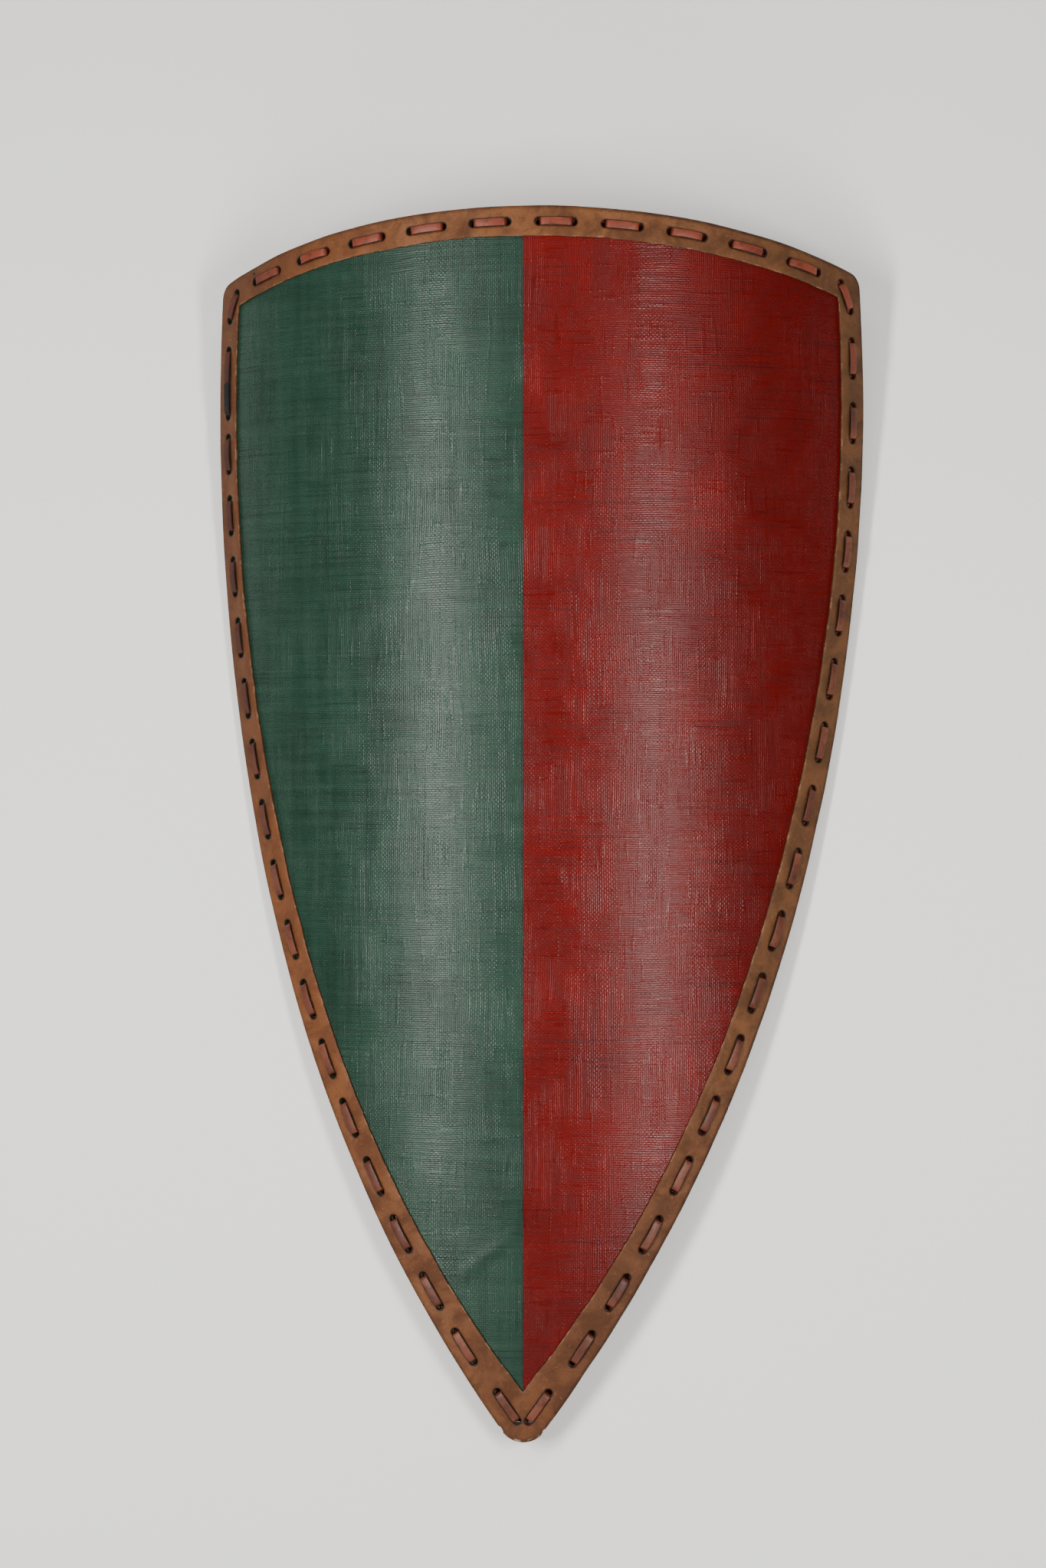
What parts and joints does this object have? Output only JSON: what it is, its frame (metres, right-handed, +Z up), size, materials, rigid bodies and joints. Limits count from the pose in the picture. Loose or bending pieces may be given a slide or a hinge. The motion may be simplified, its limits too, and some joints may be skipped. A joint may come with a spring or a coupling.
{
  "type": "heater shield",
  "caption": "Curved heater shield: canvas-faced wooden board in green and red halves, laced leather rim, forearm strap and hand grip behind.",
  "frame": {"origin": "on the ground, at the middle of the lying shield's box", "axes": "+Z up, out of the painted face; +Y towards the shield's top edge; +X towards the red half"},
  "size_m": [0.5434, 0.9924, 0.1594],
  "materials": {
    "painted_canvas_board": "coarse canvas painted in satin green and red halves over a wooden board, bare wood behind",
    "rim_leather": "brown vegetable-tanned leather, mottled and lightly worn",
    "lace_leather": "reddish brown flat leather lace, slightly glossy",
    "strap_leather": "dark brown strap leather, satin",
    "nail_brass": "dulled brass"
  },
  "bodies": {
    "root": {"board": "painted_canvas_board", "rim": "rim_leather", "lace": "lace_leather", "forearm_strap": "strap_leather", "hand_grip": "strap_leather", "forearm_strap_nail_lower": "nail_brass", "forearm_strap_nail_upper": "nail_brass", "hand_grip_nail_lower": "nail_brass", "hand_grip_nail_upper": "nail_brass"}
  },
  "joints": []
}
